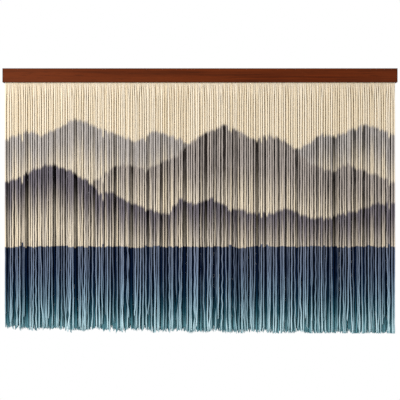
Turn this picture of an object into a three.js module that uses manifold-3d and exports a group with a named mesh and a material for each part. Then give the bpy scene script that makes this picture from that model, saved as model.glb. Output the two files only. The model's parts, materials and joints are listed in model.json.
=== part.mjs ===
// Fringe wall hanging: a walnut rail of three glued and screwed strips, a rod hidden in its channel, and a
// curtain of dyed cords doubled over the rod. Millimetres, +Z up, +X along the rail, the wall at Y = 0.
// The origin is the middle of the centre wall pad's back face, level with the rail's mid-height.
import * as THREE from 'three';
import * as BufferGeometryUtils from 'three/addons/utils/BufferGeometryUtils.js';
import Module from 'manifold-3d';

const wasm = await Module();
wasm.setup();

// Rail
const RAIL_LENGTH = 1080;
const RAIL_HEIGHT = 38;
const FRONT_RAIL_THICK = 19;
const BACK_RAIL_THICK = 9;
const CHANNEL_WIDTH = 14;
const SPACER_HEIGHT = 14;
const PAD_THICK = 5;

// Depths from the wall: each strip's face that looks away from it
const BACK_RAIL_BACK = -PAD_THICK;
const CHANNEL_BACK = BACK_RAIL_BACK - BACK_RAIL_THICK;
const CHANNEL_FRONT = CHANNEL_BACK - CHANNEL_WIDTH;
const RAIL_FRONT = CHANNEL_FRONT - FRONT_RAIL_THICK;
const CHANNEL_MIDDLE = (CHANNEL_BACK + CHANNEL_FRONT) / 2;
const SPACER_BOTTOM = RAIL_HEIGHT / 2 - SPACER_HEIGHT;

// Rod and its supports
const ROD_RADIUS = 2.5;
const ROD_HEIGHT = -6;
const ROD_CLEARANCE = 0.15;
const CHEEK_THICK = 3;
const ROD_SOCKET_DEPTH = 2;
const ROD_END_GAP = 0.3;
const SADDLE_THICK = 3;
const SADDLE_BOTTOM = -11;

// Cords: doubled over the rod at the top, hanging in bundles below
const LOOP_RADIUS = 6.4;
const LOOP_SKIRT_BOTTOM = -16.6;
const LOOP_END_GAP = 0.5;
const BUNDLE_COUNT = 28;
const BUNDLE_THICK = 12;
const BUNDLE_SPREAD_THICK = 16;
const SPREAD_HEIGHT = -140;
const BUNDLE_GAP = 0.5;
const CURTAIN_WIDTH = 1073;
const HINGE_HEIGHT = -23;
const LEFT_TIP_HEIGHT = -684;
const RIGHT_TIP_HEIGHT = -699;
const TIP_WAVE = 3;

// Screws that hold the three strips together
const SCREW_PLACES = [-520, -300, -100, 100, 300, 520];
const SCREW_HEIGHT = 12;
const SCREW_LENGTH = 32;
const SCREW_HEAD_RADIUS = 3.8;
const SCREW_HEAD_HEIGHT = 2.2;
const SCREW_SHANK_RADIUS = 1.9;
const SCREW_POINT = 4;
const SCREW_SINK = 0.3;
const SCREW_CLEARANCE = 0.15;

// Hangers on the back rail
const HANGER_PLACE = 360;
const RING_STOCK = 2;
const RING_BEVEL = 0.6;
const RING_WIDTH = 20;
const RING_HEIGHT = 15;
const RING_LEAN = THREE.MathUtils.degToRad(3.6);
const STRAP_WIDTH = 12;
const STRAP_METAL = 0.8;
const STRAP_BORE_RADIUS = 1.35;
const STRAP_BOTTOM = -15;
const BARREL_RADIUS = STRAP_BORE_RADIUS + STRAP_METAL;
const BARREL_HEIGHT = 2;
const BARREL_DEPTH = BACK_RAIL_BACK + BARREL_RADIUS;
const STRAP_BACK = BACK_RAIL_BACK + 2 * STRAP_METAL;
const HANGER_SCREW_HEIGHT = -9;
const HANGER_SCREW_HEAD_RADIUS = 2.9;
const HANGER_SCREW_HEAD_HEIGHT = 1.6;
const HANGER_SCREW_RADIUS = 1.4;
const HANGER_SCREW_LENGTH = 9;
const HANGER_SCREW_POINT = 3;

// Wall pads
const PAD_PLACES = { left: -450, centre: 0, right: 450 };
const PAD_WIDTH = 30;
const PAD_HEIGHT = 24;

const ROUND_SIDES = 16;

const walnut = new THREE.MeshStandardMaterial({ color: '#5b2a14', roughness: 0.45, metalness: 0 });
const birch = new THREE.MeshStandardMaterial({ color: '#c9ab7c', roughness: 0.6, metalness: 0 });
const yarn = new THREE.MeshStandardMaterial({ color: '#d9c8ab', roughness: 0.95, metalness: 0 });
const dyedYarn = new THREE.MeshStandardMaterial({ color: '#7d8a94', roughness: 0.95, metalness: 0 });
const steel = new THREE.MeshStandardMaterial({ color: '#b9b8b4', roughness: 0.35, metalness: 1 });
const felt = new THREE.MeshStandardMaterial({ color: '#6e6a63', roughness: 1, metalness: 0 });

const hanging = new THREE.Group();

function addPiece(name, geometry, material, x = 0, y = 0, z = 0) {
  const piece = new THREE.Mesh(geometry, material);
  piece.name = name;
  piece.position.set(x, y, z);
  hanging.add(piece);
  return piece;
}

function toSolid(geometry) {
  const bare = geometry.index ? geometry.toNonIndexed() : geometry.clone();
  bare.deleteAttribute('normal');
  bare.deleteAttribute('uv');
  const merged = BufferGeometryUtils.mergeVertices(bare, 1e-4);
  const vertProperties = new Float32Array(merged.attributes.position.array);
  const triVerts = new Uint32Array(merged.index.array);
  return new wasm.Manifold(new wasm.Mesh({ numProp: 3, vertProperties, triVerts }));
}

function toGeometry(solid) {
  const mesh = solid.getMesh();
  const geometry = new THREE.BufferGeometry();
  geometry.setAttribute('position', new THREE.BufferAttribute(mesh.vertProperties, 3));
  geometry.setIndex(new THREE.BufferAttribute(mesh.triVerts, 1));
  geometry.computeVertexNormals();
  return geometry;
}

function cut(geometry, cutters) {
  const solid = cutters.reduce((left, cutter) => left.subtract(toSolid(cutter)), toSolid(geometry));
  return toGeometry(solid);
}

// A box between two corners, its geometry already in place.
function boxBetween(low, high) {
  const size = high.map((value, i) => value - low[i]);
  const box = new THREE.BoxGeometry(...size);
  box.translate(...low.map((value, i) => value + size[i] / 2));
  return box;
}

// A cylinder that runs along X from one place to another.
function rodAlongX(radius, from, to, y, z) {
  const rod = new THREE.CylinderGeometry(radius, radius, to - from, ROUND_SIDES);
  rod.rotateZ(-Math.PI / 2);
  rod.translate((from + to) / 2, y, z);
  return rod;
}

// Carries a profile drawn as (depth, height) along X, starting at X = 0.
function extrudeAlongX(profile, length) {
  const geometry = new THREE.ExtrudeGeometry(profile, { depth: length, bevelEnabled: false, curveSegments: 12 });
  const turn = new THREE.Matrix4().makeBasis(
    new THREE.Vector3(0, 1, 0),
    new THREE.Vector3(0, 0, 1),
    new THREE.Vector3(1, 0, 0),
  );
  return geometry.applyMatrix4(turn);
}

// A round-section solid on the Y axis, from a profile of [radius, distance towards the front].
function turnAlongY(profile) {
  const points = profile.map(([radius, reach]) => new THREE.Vector2(radius, reach));
  return new THREE.LatheGeometry(points, ROUND_SIDES).rotateZ(Math.PI);
}

function countersunkScrew(clearance) {
  const shank = SCREW_SHANK_RADIUS + clearance;
  const head = SCREW_HEAD_RADIUS + clearance;
  return turnAlongY([
    [0, -clearance * 3],
    [head, -clearance * 3],
    [head, 0.4],
    [shank, SCREW_HEAD_HEIGHT + clearance],
    [shank, SCREW_LENGTH - SCREW_POINT + clearance],
    [0, SCREW_LENGTH + clearance],
  ]);
}

function hangerScrew() {
  return turnAlongY([
    [0, 0],
    [HANGER_SCREW_HEAD_RADIUS * 0.7, 0],
    [HANGER_SCREW_HEAD_RADIUS, HANGER_SCREW_HEAD_HEIGHT * 0.6],
    [HANGER_SCREW_HEAD_RADIUS, HANGER_SCREW_HEAD_HEIGHT],
    [HANGER_SCREW_RADIUS, HANGER_SCREW_HEAD_HEIGHT],
    [HANGER_SCREW_RADIUS, HANGER_SCREW_HEAD_HEIGHT + HANGER_SCREW_LENGTH - HANGER_SCREW_POINT],
    [0, HANGER_SCREW_HEAD_HEIGHT + HANGER_SCREW_LENGTH],
  ]);
}

// The clearance hole that every screw passes through, placed in the strips.
function screwHoles() {
  const depth = BACK_RAIL_BACK - SCREW_SINK;
  return SCREW_PLACES.map((x) => countersunkScrew(SCREW_CLEARANCE).translate(x, depth, SCREW_HEIGHT));
}

function hangerPilotHoles() {
  const radius = HANGER_SCREW_RADIUS + 0.2;
  return [-HANGER_PLACE, HANGER_PLACE].map((x) => {
    const hole = new THREE.CylinderGeometry(radius, radius, 2 * HANGER_SCREW_LENGTH, ROUND_SIDES);
    return hole.translate(x, STRAP_BACK - 0.5, HANGER_SCREW_HEIGHT);
  });
}

function addRailStrips() {
  const half = RAIL_LENGTH / 2;
  const top = RAIL_HEIGHT / 2;
  const front = boxBetween([-half, RAIL_FRONT, -top], [half, CHANNEL_FRONT, top]);
  const spacer = boxBetween([-half, CHANNEL_FRONT, SPACER_BOTTOM], [half, CHANNEL_BACK, top]);
  const back = boxBetween([-half, CHANNEL_BACK, -top], [half, BACK_RAIL_BACK, top]);
  addPiece('front_rail', cut(front, screwHoles()), walnut);
  addPiece('spacer_strip', cut(spacer, screwHoles()), walnut);
  addPiece('back_rail', cut(back, [...screwHoles(), ...hangerPilotHoles()]), walnut);
}

function addScrews() {
  SCREW_PLACES.forEach((x, i) => {
    addPiece(`rail_screw_${i + 1}`, countersunkScrew(0), steel, x, BACK_RAIL_BACK - SCREW_SINK, SCREW_HEIGHT);
  });
}

function addRodSupports() {
  const half = RAIL_LENGTH / 2;
  const radius = ROD_RADIUS + ROD_CLEARANCE;
  const inner = half - CHEEK_THICK;
  const low = [-half, CHANNEL_FRONT, -RAIL_HEIGHT / 2];
  const leftCheek = boxBetween(low, [-inner, CHANNEL_BACK, SPACER_BOTTOM]);
  const rightCheek = boxBetween([inner, low[1], low[2]], [half, CHANNEL_BACK, SPACER_BOTTOM]);
  const leftSocket = rodAlongX(radius, -inner - ROD_SOCKET_DEPTH, -inner + 1, CHANNEL_MIDDLE, ROD_HEIGHT);
  const rightSocket = rodAlongX(radius, inner - 1, inner + ROD_SOCKET_DEPTH, CHANNEL_MIDDLE, ROD_HEIGHT);
  const saddle = boxBetween(
    [-SADDLE_THICK / 2, CHANNEL_FRONT, SADDLE_BOTTOM],
    [SADDLE_THICK / 2, CHANNEL_BACK, SPACER_BOTTOM],
  );
  const bore = rodAlongX(radius, -SADDLE_THICK, SADDLE_THICK, CHANNEL_MIDDLE, ROD_HEIGHT);
  addPiece('end_cheek_left', cut(leftCheek, [leftSocket]), walnut);
  addPiece('end_cheek_right', cut(rightCheek, [rightSocket]), walnut);
  addPiece('rod_saddle', cut(saddle, [bore]), walnut);
}

function addRod() {
  const reach = RAIL_LENGTH / 2 - CHEEK_THICK + ROD_SOCKET_DEPTH - ROD_END_GAP;
  addPiece('header_rod', rodAlongX(ROD_RADIUS, -reach, reach, CHANNEL_MIDDLE, ROD_HEIGHT), birch);
}

// One half of the curtain's bent tops: a sleeve over the rod and the cords' first stretch below it.
function loopProfile() {
  const foot = BUNDLE_THICK / 2;
  const profile = new THREE.Shape();
  profile.moveTo(CHANNEL_MIDDLE - foot, LOOP_SKIRT_BOTTOM);
  profile.lineTo(CHANNEL_MIDDLE + foot, LOOP_SKIRT_BOTTOM);
  profile.lineTo(CHANNEL_MIDDLE + LOOP_RADIUS, ROD_HEIGHT);
  profile.absarc(CHANNEL_MIDDLE, ROD_HEIGHT, LOOP_RADIUS, 0, Math.PI, false);
  profile.closePath();
  const bore = new THREE.Path();
  bore.absarc(CHANNEL_MIDDLE, ROD_HEIGHT, ROD_RADIUS + 2 * ROD_CLEARANCE, 0, 2 * Math.PI, true);
  profile.holes.push(bore);
  return profile;
}

function addLoopRows() {
  const start = SADDLE_THICK / 2 + LOOP_END_GAP;
  const length = CURTAIN_WIDTH / 2 - start;
  addPiece('loop_row_left', extrudeAlongX(loopProfile(), length), yarn, -CURTAIN_WIDTH / 2);
  addPiece('loop_row_right', extrudeAlongX(loopProfile(), length), yarn, start);
}

// A bundle's side view: a slab with a round top that is centred on its hinge. It thickens as the cords loosen.
function bundleProfile(tip) {
  const half = BUNDLE_THICK / 2;
  const spread = BUNDLE_SPREAD_THICK / 2;
  const profile = new THREE.Shape();
  profile.moveTo(CHANNEL_MIDDLE - spread, SPREAD_HEIGHT);
  profile.lineTo(CHANNEL_MIDDLE - spread, tip);
  profile.lineTo(CHANNEL_MIDDLE + spread, tip);
  profile.lineTo(CHANNEL_MIDDLE + spread, SPREAD_HEIGHT);
  profile.absarc(CHANNEL_MIDDLE, HINGE_HEIGHT, half, 0, Math.PI, false);
  profile.closePath();
  return profile;
}

function tipHeight(i) {
  const across = i / (BUNDLE_COUNT - 1);
  const lean = THREE.MathUtils.lerp(LEFT_TIP_HEIGHT, RIGHT_TIP_HEIGHT, across);
  return lean + TIP_WAVE * Math.sin(2.4 * i);
}

function addBundles() {
  const pitch = CURTAIN_WIDTH / BUNDLE_COUNT;
  for (let i = 0; i < BUNDLE_COUNT; i += 1) {
    const start = -CURTAIN_WIDTH / 2 + i * pitch + BUNDLE_GAP / 2;
    const name = `cord_bundle_${String(i + 1).padStart(2, '0')}`;
    addPiece(name, extrudeAlongX(bundleProfile(tipHeight(i)), pitch - BUNDLE_GAP), dyedYarn, start);
  }
}

// Folded strap, seen from the side: two layers of sheet that close round the ring's bar.
function strapGeometry() {
  const meet = Math.acos((BARREL_DEPTH - STRAP_BACK) / BARREL_RADIUS);
  const profile = new THREE.Shape();
  profile.moveTo(BACK_RAIL_BACK, STRAP_BOTTOM);
  profile.lineTo(STRAP_BACK, STRAP_BOTTOM);
  profile.absarc(BARREL_DEPTH, BARREL_HEIGHT, BARREL_RADIUS, Math.PI + meet, 3 * Math.PI, false);
  profile.closePath();
  const bore = new THREE.Path();
  bore.absarc(BARREL_DEPTH, BARREL_HEIGHT, STRAP_BORE_RADIUS, 0, 2 * Math.PI, true);
  profile.holes.push(bore);
  const strap = extrudeAlongX(profile, STRAP_WIDTH).translate(-STRAP_WIDTH / 2, 0, 0);
  const radius = HANGER_SCREW_RADIUS + 0.2;
  const hole = new THREE.CylinderGeometry(radius, radius, 10, ROUND_SIDES);
  return cut(strap, [hole.translate(0, BACK_RAIL_BACK, HANGER_SCREW_HEIGHT)]);
}

// One outline of the D: a straight bar at the bottom and a round bow above it.
function ringOutline(path, inset) {
  const half = RING_WIDTH / 2 - inset;
  const bar = -RING_STOCK / 2 + inset;
  const straight = RING_HEIGHT - RING_WIDTH / 2 - RING_STOCK / 2;
  path.moveTo(-half, bar);
  path.lineTo(half, bar);
  path.absarc(0, straight, half, 0, Math.PI, false);
  path.closePath();
  return path;
}

// The ring stands up from its bar, which lies on the hinge, and leans on the back rail.
function ringGeometry() {
  const outline = ringOutline(new THREE.Shape(), RING_BEVEL);
  outline.holes.push(ringOutline(new THREE.Path(), RING_STOCK - RING_BEVEL));
  const ring = new THREE.ExtrudeGeometry(outline, {
    depth: RING_STOCK - 2 * RING_BEVEL,
    bevelEnabled: true,
    bevelThickness: RING_BEVEL,
    bevelSize: RING_BEVEL,
    bevelSegments: 1,
    curveSegments: 12,
  });
  ring.translate(0, 0, -RING_STOCK / 2 + RING_BEVEL);
  return ring.rotateX(Math.PI / 2 + RING_LEAN);
}

function addHangers() {
  const sides = { left: -HANGER_PLACE, right: HANGER_PLACE };
  for (const [side, x] of Object.entries(sides)) {
    const screwDepth = STRAP_BACK + HANGER_SCREW_HEAD_HEIGHT;
    addPiece(`hanger_strap_${side}`, strapGeometry(), steel, x);
    addPiece(`hanger_ring_${side}`, ringGeometry(), steel, x, BARREL_DEPTH, BARREL_HEIGHT);
    addPiece(`hanger_screw_${side}`, hangerScrew(), steel, x, screwDepth, HANGER_SCREW_HEIGHT);
  }
}

function addWallPads() {
  for (const [side, x] of Object.entries(PAD_PLACES)) {
    const pad = boxBetween(
      [-PAD_WIDTH / 2, BACK_RAIL_BACK, -PAD_HEIGHT / 2],
      [PAD_WIDTH / 2, 0, PAD_HEIGHT / 2],
    );
    addPiece(`wall_pad_${side}`, pad, felt, x);
  }
}

addRailStrips();
addScrews();
addRodSupports();
addRod();
addLoopRows();
addBundles();
addHangers();
addWallPads();

export default hanging;
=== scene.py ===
"""Fringe wall hanging: a walnut rail that clamps a curtain of dip-dyed cords."""
import json
import math

import bmesh
import bpy
import numpy as np
from mathutils import Matrix, Vector

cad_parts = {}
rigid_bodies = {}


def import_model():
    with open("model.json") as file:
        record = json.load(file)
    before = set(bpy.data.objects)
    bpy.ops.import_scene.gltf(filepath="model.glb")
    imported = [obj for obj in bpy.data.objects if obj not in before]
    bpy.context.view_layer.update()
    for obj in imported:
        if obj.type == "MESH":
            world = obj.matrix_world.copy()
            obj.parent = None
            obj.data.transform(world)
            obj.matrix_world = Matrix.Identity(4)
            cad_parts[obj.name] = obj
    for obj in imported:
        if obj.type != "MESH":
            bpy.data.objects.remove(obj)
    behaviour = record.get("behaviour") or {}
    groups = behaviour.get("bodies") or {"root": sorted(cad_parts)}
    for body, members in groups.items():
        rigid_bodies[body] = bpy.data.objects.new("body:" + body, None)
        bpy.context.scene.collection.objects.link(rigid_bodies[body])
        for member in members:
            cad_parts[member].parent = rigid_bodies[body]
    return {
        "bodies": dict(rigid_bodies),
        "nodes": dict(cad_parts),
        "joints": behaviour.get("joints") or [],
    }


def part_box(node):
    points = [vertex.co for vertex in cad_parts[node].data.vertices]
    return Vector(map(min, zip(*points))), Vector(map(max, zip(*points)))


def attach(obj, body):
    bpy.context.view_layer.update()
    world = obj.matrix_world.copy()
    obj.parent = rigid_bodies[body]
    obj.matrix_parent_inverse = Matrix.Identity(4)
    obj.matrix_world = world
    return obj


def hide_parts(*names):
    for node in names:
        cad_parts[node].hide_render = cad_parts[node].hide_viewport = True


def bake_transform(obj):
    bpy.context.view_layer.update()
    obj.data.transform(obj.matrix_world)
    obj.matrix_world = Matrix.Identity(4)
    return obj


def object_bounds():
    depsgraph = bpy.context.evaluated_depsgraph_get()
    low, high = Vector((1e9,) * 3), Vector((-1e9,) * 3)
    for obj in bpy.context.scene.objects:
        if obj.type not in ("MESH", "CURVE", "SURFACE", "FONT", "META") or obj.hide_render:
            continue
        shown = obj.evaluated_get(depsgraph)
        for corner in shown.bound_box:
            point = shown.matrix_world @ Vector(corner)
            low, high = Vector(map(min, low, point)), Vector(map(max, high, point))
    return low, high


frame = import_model()
cad_low, cad_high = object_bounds()
MM = 0.001
DICE = np.random.default_rng(41)


# ---------------------------------------------------------------- camera

LENS = 135.0
SENSOR = 36.0
VIEW_WIDTH = 1093 * MM
AIM_HEIGHT = -341 * MM


def add_camera():
    """A long lens, square on to the front, far enough back to hold the whole rail with a small margin."""
    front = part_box("front_rail")[0].y
    distance = VIEW_WIDTH * LENS / SENSOR
    bpy.ops.object.camera_add(location=(0, front - distance, AIM_HEIGHT), rotation=(math.pi / 2, 0, 0))
    camera = bpy.context.object
    camera.data.lens = LENS
    camera.data.sensor_width = SENSOR
    camera.data.clip_end = 30
    bpy.context.scene.camera = camera


add_camera()


# ---------------------------------------------------------------- shared places, all taken from the frame

BUNDLES = sorted(name for name in frame["bodies"] if name.startswith("cord_bundle_"))
RAIL_LOW, RAIL_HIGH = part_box("front_rail")
BACK_LOW, BACK_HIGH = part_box("back_rail")
ROD_LOW, ROD_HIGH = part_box("header_rod")
ROD_RADIUS = (ROD_HIGH.z - ROD_LOW.z) / 2
ROD_HEIGHT = (ROD_HIGH.z + ROD_LOW.z) / 2
ROD_DEPTH = (ROD_HIGH.y + ROD_LOW.y) / 2
SADDLE_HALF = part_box("rod_saddle")[1].x


def middle_x(name):
    """The middle, along the rail, of a solid's box."""
    low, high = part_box(name)
    return (low.x + high.x) / 2


CURTAIN_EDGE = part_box(BUNDLES[-1])[1].x
RAIL_BOTTOM = RAIL_LOW.z


# ---------------------------------------------------------------- how the cords hang

CORDS_PER_BUNDLE = 12
CORD_RADIUS = 1.95 * MM
CLAMPED_RADIUS = 1.58 * MM
CORD_SIDES = 8
LEG_RINGS = 66
FRAY_PLIES = 3
FRAY_SIDES = 5
LAYER_DEPTHS = np.array([-4.8, 0.0, 4.8]) * MM
LAYER_WANDER = np.array([1.0, 0.6, 0.0])
FRONT_LEGS_OUTSIDE = 6
DEEP_FRONT_EVERY = 8
BACK_LEGS_INSIDE = 2
CHANNEL_HALF = 4.6 * MM
CURTAIN_HALF = 6.0 * MM
LEVEL_STEP = 9 * MM
LEFT_TIP = -685 * MM
RIGHT_TIP = -700 * MM
SWAY = 1.9 * MM
SCATTER = 1.1 * MM
CURL = 3.0 * MM
WAVE_LENGTHS = (95 * MM, 210 * MM)
WAVE_HEIGHT, WAVE_SPREAD = 0.9 * MM, 0.7 * MM
RIPPLE_LENGTHS = (36 * MM, 78 * MM)
RIPPLE_HEIGHT, RIPPLE_SPREAD = 0.3 * MM, 0.25 * MM
GATHERING_PLACES = 84
MOST_GATHERED = 0.22
TAIL_START = 0.62
SETTLED_BY = 60 * MM
OPENED_BY = 120 * MM
SETTLING_ROUNDS = 70
TIP_SPREAD = 2.6 * MM
CUT_SHORT_SHARE = np.array([0.13, 0.05, 0.0])
CUT_SHORT_BY = (12 * MM, 48 * MM)


def tops_of_cords():
    """Where each cord lies on the rod: its place along the rail and the bundle it belongs to."""
    places, owners = [], []
    inner = SADDLE_HALF + CORD_RADIUS + 0.5 * MM
    squeeze = (CURTAIN_EDGE - inner) / CURTAIN_EDGE
    for index, bundle in enumerate(BUNDLES):
        low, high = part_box(bundle)
        pitch = (high.x - low.x) / CORDS_PER_BUNDLE
        for k in range(CORDS_PER_BUNDLE):
            x = low.x + (k + 0.5) * pitch
            places.append((x, math.copysign(inner, x) + x * squeeze))
            owners.append(index)
    return np.array(places), np.array(owners)


def spread_out(count):
    """Picks a few of a bundle's cords, about evenly spaced."""
    step = CORDS_PER_BUNDLE / count
    return np.floor((np.arange(count) + DICE.uniform(0.2, 0.8, count)) * step).astype(int)


def layers_of_legs(count):
    """Which layer each leg hangs in, 0 at the front. Legs come in pairs, front of the rod and back."""
    layers = np.zeros(2 * count, int)
    for first in range(0, count, CORDS_PER_BUNDLE):
        outside = spread_out(FRONT_LEGS_OUTSIDE)
        inside = spread_out(BACK_LEGS_INSIDE)
        for k in range(CORDS_PER_BUNDLE):
            layers[2 * (first + k)] = 0 if k in outside else 1
            layers[2 * (first + k) + 1] = 1 if k in inside else 2
    return layers


def deep_dyed_front(layer):
    """Marks about one front leg in eight as dyed right through, never two side by side."""
    front = np.flatnonzero(layer == 0)
    chosen = np.arange(4, len(front) - 4, DEEP_FRONT_EVERY)
    deep = np.zeros(len(layer), bool)
    deep[front[chosen + DICE.integers(-3, 4, len(chosen))]] = True
    return deep


def slots_in_layers(owner, layer, hang_x):
    """An even place along the rail for each leg of a layer, in the order the legs leave the rod."""
    places = np.zeros(len(owner))
    for index, bundle in enumerate(BUNDLES):
        low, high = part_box(bundle)
        for depth in range(len(LAYER_DEPTHS)):
            legs = np.flatnonzero((owner == index) & (layer == depth))
            legs = legs[np.argsort(hang_x[legs], kind="stable")]
            places[legs] = low.x + (np.arange(len(legs)) + 0.5) * (high.x - low.x) / len(legs)
    return places


def push_apart(x, y, gap, reach=14):
    """Moves cords that share a level out of each other, pair by pair of near neighbours."""
    move_x, move_y = np.zeros_like(x), np.zeros_like(y)
    for step in range(1, reach + 1):
        dx = x[step:] - x[:-step]
        dy = y[step:] - y[:-step]
        apart = np.hypot(dx, dy) + 1e-9
        push = np.clip(gap - apart, 0, None) * 0.5 / apart
        move_x[step:] += dx * push
        move_x[:-step] -= dx * push
        move_y[step:] += dy * push
        move_y[:-step] -= dy * push
    return move_x, move_y


def ease_along(values, share):
    """Takes sharp bends out of every cord, leaving its two ends where they are."""
    values[:, 1:-1] += share * (values[:, :-2] + values[:, 2:] - 2 * values[:, 1:-1])


def waves(height, down, length, phase):
    """Slow waves down each cord, at every level."""
    return height * np.sin(2 * math.pi * down / length[:, None] + phase[:, None])


def ripples(layer, down, fall, settle):
    """Short ripples down each cord, along the rail and in depth, stronger toward the tips."""
    count = len(layer)
    length = DICE.uniform(*RIPPLE_LENGTHS, (2, count, 1))
    height = np.abs(DICE.normal(RIPPLE_HEIGHT, RIPPLE_SPREAD, (2, count, 1))) * (0.25 + 1.1 * fall**1.5)
    height = height * LAYER_WANDER[layer][:, None]
    return height * np.sin(2 * math.pi * down / length + DICE.uniform(0, 6, (2, count, 1))) * settle


def cut_ends(last_x, layer):
    """The height of each cut end: a slightly wavy line, lower at the right, with some cords cut short."""
    across = (last_x + CURTAIN_EDGE) / (2 * CURTAIN_EDGE)
    tip = LEFT_TIP + (RIGHT_TIP - LEFT_TIP) * across + DICE.normal(0, TIP_SPREAD, len(layer))
    tip += 2.5 * MM * np.sin(across * 61) + 1.5 * MM * np.sin(across * 143)
    cut_short = DICE.random(len(layer)) < CUT_SHORT_SHARE[layer]
    tip += np.where(cut_short, DICE.uniform(*CUT_SHORT_BY, len(layer)), 0)
    return np.maximum(tip, cad_low.z - 3 * MM)


def hang_cords():
    """Settles all the legs together: each falls straight, wanders, gathers with its neighbours, makes room.

    Returns the legs' places along the rail and in depth at each level, and the levels. For each leg it
    also gives its tip, bundle, side of the rod, place under and on the rod, layer, and whether deep-dyed.
    """
    tops, owners = tops_of_cords()
    owner = np.repeat(owners, 2)
    hang_x = np.repeat(tops[:, 0], 2)
    rod_x = np.repeat(tops[:, 1], 2)
    count = len(owner)
    side = np.tile([0, 1], len(owners))
    layer = layers_of_legs(len(owners))
    deep = deep_dyed_front(layer)
    levels = np.arange(RAIL_BOTTOM, cad_low.z - 2 * LEVEL_STEP, -LEVEL_STEP)
    fall = (levels - levels[0]) / (levels[-1] - levels[0])

    freedom = LAYER_WANDER[layer]
    wander = DICE.normal(0, SWAY, count) * freedom
    scatter = DICE.uniform(-SCATTER, SCATTER, count) * freedom
    phase = DICE.uniform(0, 2 * math.pi, (4, count))
    length = DICE.uniform(*WAVE_LENGTHS, (2, count))
    strength = np.abs(DICE.normal(WAVE_HEIGHT, WAVE_SPREAD, (2, count))) * freedom
    curl = DICE.normal(0, CURL, count) * freedom
    groups = np.sort(DICE.uniform(-CURTAIN_EDGE, CURTAIN_EDGE, GATHERING_PLACES))
    slot_x = slots_in_layers(owner, layer, hang_x)
    nearest = groups[np.abs(groups[None, :] - slot_x[:, None]).argmin(1)]
    gather = DICE.uniform(0.0, MOST_GATHERED, count) * freedom

    down = levels[None, :] - levels[0]
    loosen = 0.12 + 1.1 * fall**2.2
    tail = np.clip((fall - TAIL_START) / (1 - TAIL_START), 0, 1) ** 2
    aim_x = (slot_x + scatter)[:, None] + wander[:, None] * fall**1.4
    aim_x = aim_x + (nearest - slot_x)[:, None] * gather[:, None] * tail
    aim_x = aim_x + curl[:, None] * tail
    aim_x = aim_x + waves(strength[0][:, None] * loosen, down, length[0], phase[0])
    aim_y = LAYER_DEPTHS[layer][:, None] * (0.75 + 0.25 * fall)
    aim_y = aim_y + waves(strength[1][:, None] * loosen, down, length[1], phase[1])

    order = np.lexsort((layer, slot_x))
    aim_x, aim_y = aim_x[order], aim_y[order]
    top_x = hang_x[order][:, None]
    top_y = (np.where(side == 0, -1, 1) * (ROD_RADIUS + CORD_RADIUS))[order][:, None]
    owner, side, layer = owner[order], side[order], layer[order]
    spill = 0.6 * MM + 2.4 * MM * fall
    low = np.array([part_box(name)[0].x for name in BUNDLES])[owner][:, None] - spill
    high = np.array([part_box(name)[1].x for name in BUNDLES])[owner][:, None] + spill
    low = np.maximum(low, -CURTAIN_EDGE)
    high = np.minimum(high, CURTAIN_EDGE)
    settle = np.clip(-down / SETTLED_BY, 0, 1)
    x = top_x + (aim_x - top_x) * settle
    y = top_y + (aim_y - top_y) * settle
    room = np.clip(-down / OPENED_BY, 0, 1)
    half = CHANNEL_HALF + (CURTAIN_HALF - CHANNEL_HALF) * room
    for _ in range(SETTLING_ROUNDS):
        move_x, move_y = push_apart(x, y, 2 * CORD_RADIUS)
        x += 0.6 * move_x + 0.03 * (aim_x - x) * settle
        y += 0.6 * move_y + 0.03 * (aim_y - y) * settle
        ease_along(x, 0.12)
        ease_along(y, 0.12)
        x = np.clip(x, low + CORD_RADIUS, high - CORD_RADIUS)
        y = np.clip(y, -half, half)
        x[:, :1], y[:, :1] = top_x, top_y
    ripple = ripples(layer, down, fall, settle)
    x = np.clip(x + ripple[0], low + CORD_RADIUS, high - CORD_RADIUS)
    y = np.clip(y + ripple[1], -half, half)
    return {"x": x, "y": y + ROD_DEPTH, "levels": levels, "tip": cut_ends(x[:, -1], layer),
            "owner": owner, "side": side, "hang_x": hang_x[order], "rod_x": rod_x[order],
            "layer": layer, "deep": deep[order]}


def leg_path(hung, leg):
    """The centreline of one leg, from the rail's bottom edge to its cut end, as rows of x, y, z."""
    share = np.linspace(0, 1, LEG_RINGS)
    share = share * 1.25 - 0.25 * share**2.2
    z = hung["levels"][0] + (hung["tip"][leg] - hung["levels"][0]) * share / share[-1]
    up = hung["levels"][::-1]
    x = np.interp(z, up, hung["x"][leg][::-1])
    y = np.interp(z, up, hung["y"][leg][::-1])
    return np.column_stack([x, y, z])


def over_rod(x, first, last):
    """The bend of a cord over the rod, from the wall side (0 degrees) over the top to the front (180)."""
    angle = np.radians(np.linspace(first, last, 9))
    radius = ROD_RADIUS + CORD_RADIUS
    return np.column_stack([
        np.full(len(angle), x),
        ROD_DEPTH + radius * np.cos(angle),
        ROD_HEIGHT + radius * np.sin(angle),
    ])


# ---------------------------------------------------------------- the dyed scene, as heights in mm

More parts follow.
